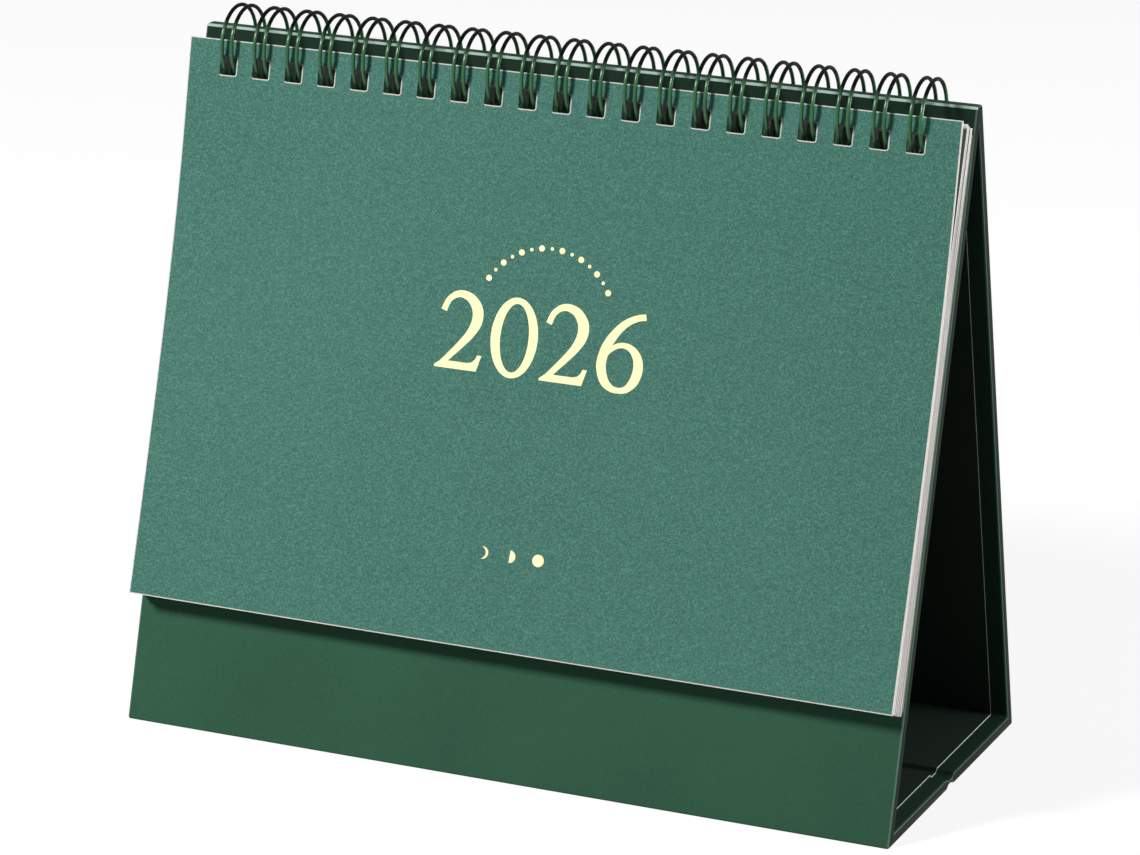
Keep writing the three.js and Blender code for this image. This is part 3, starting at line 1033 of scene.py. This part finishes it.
# %% Drawing foil
FOIL_ABOVE = 0.035 * MM
FOIL_BELOW = 0.05 * MM
FOIL_ROW = 2.5 * MM
FOIL_NEAR = 0.001 * MM


def outline_of(stroke, steps=8):
    """The closed outline of a stroke through (x, height, width) points."""
    line = smooth_line(stroke, steps)
    left, right = [], []
    for i, (x, y, width) in enumerate(line):
        before, after = line[max(i - 1, 0)], line[min(i + 1, len(line) - 1)]
        along = Vector((after[0] - before[0], after[1] - before[1])).normalized()
        left.append((x - along.y * width / 2, y + along.x * width / 2))
        right.append((x + along.y * width / 2, y - along.x * width / 2))
    return left + right[::-1]


def oval(x, y, half_width, half_height, points=64):
    angles = [2 * math.pi * i / points for i in range(points)]
    return [(x + half_width * math.cos(a), y + half_height * math.sin(a)) for a in angles]


def foil_shape(name, outlines):
    """A thin filled shape in the panel's frame. An outline inside another is a hole."""
    lines = [[(x * MM, y * MM, 0) for x, y in outline] for outline in outlines]
    shape = add_curve(name, lines, closed=True)
    shape.data.dimensions = "2D"
    shape.data.fill_mode = "BOTH"
    shape.data.extrude = (FOIL_ABOVE + FOIL_BELOW) / 2
    shape = as_mesh(shape)
    place(shape, Matrix.Translation((0, (FOIL_BELOW - FOIL_ABOVE) / 2, 0))
          @ Matrix.Rotation(math.pi / 2, 4, "X"))
    pick(shape, "FACE", lambda face: True)
    seal(FOIL_NEAR)
    return shape


def weld(name, shapes):
    """Joins shapes that touch into one solid."""
    first, *others = shapes
    for other in others:
        apply(first, "BOOLEAN", operation="UNION", solver="EXACT", object=other)
        bpy.data.objects.remove(other)
    first.name = first.data.name = name
    return first


def press_on(shape):
    """Lays a flat foil shape on the bowed cover, and lets it ride there."""
    heights = [vertex.co.z for vertex in shape.data.vertices]
    up = min(heights) + FOIL_ROW
    pick(shape, "FACE", lambda face: True)
    while up < max(heights):
        bpy.ops.mesh.select_all(action="SELECT")
        bpy.ops.mesh.bisect(plane_co=(0, 0, up), plane_no=(0, 0, 1))
        up += FOIL_ROW
    leave_edit_mode()
    apply(shape, "TRIANGULATE", min_vertices=5)
    bend(shape, cover_foot, cover_head, cover_lift)
    place(shape, FRONT)
    shape.data.materials.clear()
    shape.data.materials.append(foil)
    smooth(shape, degrees=30)
    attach(shape, "cover")
    report(shape)


print("foil is", round((FOIL_ABOVE + FOIL_BELOW) / MM, 3), "mm thick, sunk by",
      round(FOIL_BELOW / MM, 3))

# %% [markdown]
# ### The year
#
# Each figure is about 18 mm tall. The two is a stroke that starts at its upper left, turns
# over the top, thickens on its right and runs down to the foot, plus the foot with its
# raised end. The nought is one oval less another. The six is a stem that becomes the left
# half of the bowl, and a second stroke that closes the bowl.

# %% Year figures
BASELINE = 93.0


def moved(points, x):
    """Points of a figure, which are written from its own foot, at their place."""
    return [(p[0] + x, p[1] + BASELINE, *p[2:]) for p in points]


def figure_two(x):
    body = [(0.95, 13.1, 1.5), (1.9, 15.5, 1.4), (3.6, 16.95, 1.5), (5.6, 17.2, 1.75),
            (7.8, 16.2, 2.2), (9.35, 13.9, 2.65), (9.4, 11.2, 2.6), (8.1, 8.4, 2.1),
            (5.9, 5.6, 1.7), (3.4, 2.8, 1.45), (1.5, 0.75, 1.3)]
    foot = [(0, 0), (10.5, 0), (11.5, 3.65), (10.45, 3.75), (9.95, 2.65), (9.2, 1.95),
            (8.2, 1.7), (1.6, 1.7), (0, 0.55)]
    return weld("two", [
        foil_shape("two_body", [outline_of(moved(body, x))]),
        foil_shape("two_foot", [moved(foot, x)]),
    ])


def figure_nought(x):
    return foil_shape("nought", [
        oval(x + 5.82, BASELINE + 8.8, 5.82, 9.24),
        oval(x + 5.87, BASELINE + 8.75, 3.5, 7.86),
    ])


def figure_six(x):
    stem = [(10.85, 17.3, 1.5), (8.6, 16.75, 1.5), (6.1, 15.3, 1.7), (3.9, 12.9, 2.0),
            (2.1, 9.8, 2.25), (1.25, 6.6, 2.3), (1.4, 4.2, 2.3), (2.5, 1.7, 2.1),
            (4.3, 0.35, 1.55), (6.1, 0.1, 1.25)]
    bowl = [(5.4, 0.08, 1.2), (7.6, 0.45, 1.5), (9.4, 2.3, 2.15), (10.2, 5.0, 2.35),
            (9.9, 7.5, 2.2), (8.5, 9.5, 1.7), (6.5, 10.35, 1.3), (4.5, 10.0, 1.2),
            (3.0, 8.95, 1.1), (2.2, 8.0, 1.0)]
    return weld("six", [
        foil_shape("six_stem", [outline_of(moved(stem, x))]),
        foil_shape("six_bowl", [outline_of(moved(bowl, x))]),
    ])


YEAR = [(figure_two, -24.84), (figure_nought, -11.61), (figure_two, 1.36), (figure_six, 14.88)]
press_on(gather("year_figures", [figure(x) for figure, x in YEAR]))

# %% [markdown]
# ### The arc of dots and the moons
#
# The dots lie on a circle above the year, larger and smaller in turn. The waxing crescent
# is a disc less a second disc beside it, the half moon is a disc cut along its middle, and
# the full moon is the disc itself.

# %% Dots and moons
ARC_CENTRE = (1.1, 105.8)
ARC_RADIUS = 17.2
ARC_FROM, ARC_TO = 149, 31
DOTS = 15
LARGE_DOT, SMALL_DOT = 0.72, 0.42
DOT_POINTS = 24
dots = []
for i in range(DOTS):
    angle = math.radians(ARC_FROM + (ARC_TO - ARC_FROM) * i / (DOTS - 1))
    radius = SMALL_DOT if i % 2 else LARGE_DOT
    centre = (ARC_CENTRE[0] + ARC_RADIUS * math.cos(angle),
              ARC_CENTRE[1] + ARC_RADIUS * math.sin(angle))
    dots.append(foil_shape("dot", [oval(*centre, radius, radius, DOT_POINTS)]))
press_on(gather("dot_arc", dots))

MOON = 1.42
MOON_UP = 52.4
CRESCENT_X, CRESCENT_BITE_X = -6.95, -7.6
HALF_MOON_X = -0.2
FULL_MOON_X = 6.84


def moon_edge(x, start, end, steps=32):
    """Part of a moon's round edge, from one angle in degrees to another."""
    angles = [math.radians(start + (end - start) * i / steps) for i in range(steps + 1)]
    return [(x + MOON * math.cos(a), MOON_UP + MOON * math.sin(a)) for a in angles]


crescent = moon_edge(CRESCENT_X, -103, 103) + moon_edge(CRESCENT_BITE_X, 77, -77)[1:-1]
press_on(gather("moon_phases", [
    foil_shape("crescent_moon", [crescent]),
    foil_shape("half_moon", [moon_edge(HALF_MOON_X, -95, 88)]),
    foil_shape("full_moon", [oval(FULL_MOON_X, MOON_UP, MOON, MOON)]),
]))

# %% [markdown]
# ## Floor, light and camera
#
# The calendar stands on a plain white floor against white. A rather small lamp, high on
# the left, gives the wires their crisp shadows on the cover. The world fills the shade a
# little, and a lamp on the right, a bit behind, picks out the cut edges of the leaves but
# not their faces. Floor and background glow white only to the camera, in reflections and
# through glass, so they add no light to the paper.

# %% Floor and world
FLOOR_RADIUS = 6
FLOOR_CORNERS = 96
FLOOR_GREY = 0.3
FLOOR_GLOW = 0.84
AMBIENT = 0.06
WHITE = (1, 1, 1, 1)


def camera_sees(finish):
    """1 for what the camera, a reflection or a glass sees, 0 for light on surfaces."""
    rays = [finish.node("ShaderNodeLightPath", output=name)
            for name in ("Is Camera Ray", "Is Glossy Ray", "Is Transmission Ray")]
    seen = rays[0] + rays[1] + rays[2]
    return seen.math("MINIMUM", seen, 1.0)


bpy.ops.object.select_all(action="DESELECT")
bpy.ops.mesh.primitive_circle_add(vertices=FLOOR_CORNERS, radius=FLOOR_RADIUS,
                                  fill_type="NGON")
floor = bpy.context.object
floor.name = "floor"
finish = new_finish("floor_white")
matt = finish.node("ShaderNodeBsdfDiffuse", inputs={
    "Color": (FLOOR_GREY, FLOOR_GREY, FLOOR_GREY, 1)})
glow = finish.node("ShaderNodeEmission", inputs={
    "Color": WHITE, "Strength": camera_sees(finish) * FLOOR_GLOW})
both = finish.node("ShaderNodeAddShader", inputs={0: matt, 1: glow})
finish.node("ShaderNodeOutputMaterial", inputs={"Surface": both})
floor.data.materials.append(finish.owner)

world = bpy.data.worlds.new("studio")
bpy.context.scene.world = world
sky = Finish(world)
seen = camera_sees(sky)
backdrop = sky.node("ShaderNodeBackground", inputs={
    "Color": WHITE, "Strength": seen * (1 - AMBIENT) + AMBIENT})
sky.node("ShaderNodeOutputWorld", inputs={"Surface": backdrop})
bpy.context.scene.view_settings.view_transform = "Standard"
print("floor radius", FLOOR_RADIUS, "m, ambient light", AMBIENT)

# %% Lamps
def add_lamp(name, location, target, size, power):
    bpy.ops.object.light_add(type="AREA", location=location)
    lamp = bpy.context.object
    lamp.name = name
    lamp.data.size = size
    lamp.data.energy = power
    beam = Vector(target) - Vector(location)
    lamp.rotation_euler = beam.to_track_quat("-Z", "Y").to_euler()
    print(name, "at", round(beam.length, 2), "m from the calendar")


add_lamp("key_lamp", location=(-0.7, -1.0, 0.95), target=(0, 0, 0.1), size=0.26, power=19.6)
add_lamp("side_lamp", location=(1.7, 0.25, 0.4), target=(0, 0, 0.08), size=0.6, power=28)

# %% [markdown]
# ## The camera
#
# The photograph was taken with a long lens from the right, a little above the calendar.
# The camera's angles, distance and lens were fitted to the corners of the tent and the
# cover and to the row of 21 slots. That gives the lens in pixels of the frame, and it is
# turned into millimetres here.

# %% Camera
FRAME_WIDTH = 1140
SENSOR = 36
NEAREST_SEEN = 0.01
azimuth, elevation, roll = (math.radians(v) for v in (23.0311, 16.098, 0.9384))
distance = 1.08588
focal_pixels = 4676.63
target = Vector((-0.0013974, 0, 0.0907717))
centre_shift = (1.874, -74.342)

backward = Vector((math.sin(azimuth) * math.cos(elevation),
                   -math.cos(azimuth) * math.cos(elevation), math.sin(elevation)))
right = Vector((math.cos(azimuth), math.sin(azimuth), 0))
upward = backward.cross(right)
rolled_right = right * math.cos(roll) + upward * math.sin(roll)
rolled_up = upward * math.cos(roll) - right * math.sin(roll)
turn = Matrix((rolled_right, rolled_up, backward)).transposed().to_4x4()

bpy.ops.object.camera_add()
camera = bpy.context.object
camera.name = "camera"
camera.matrix_world = Matrix.Translation(target + backward * distance) @ turn
camera.data.sensor_width = SENSOR
camera.data.lens = focal_pixels * SENSOR / FRAME_WIDTH
camera.data.shift_x = -centre_shift[0] / FRAME_WIDTH
camera.data.shift_y = centre_shift[1] / FRAME_WIDTH
camera.data.clip_start = NEAREST_SEEN
bpy.context.scene.camera = camera
print("camera at", [round(v, 4) for v in camera.location],
      "lens", round(camera.data.lens, 2))
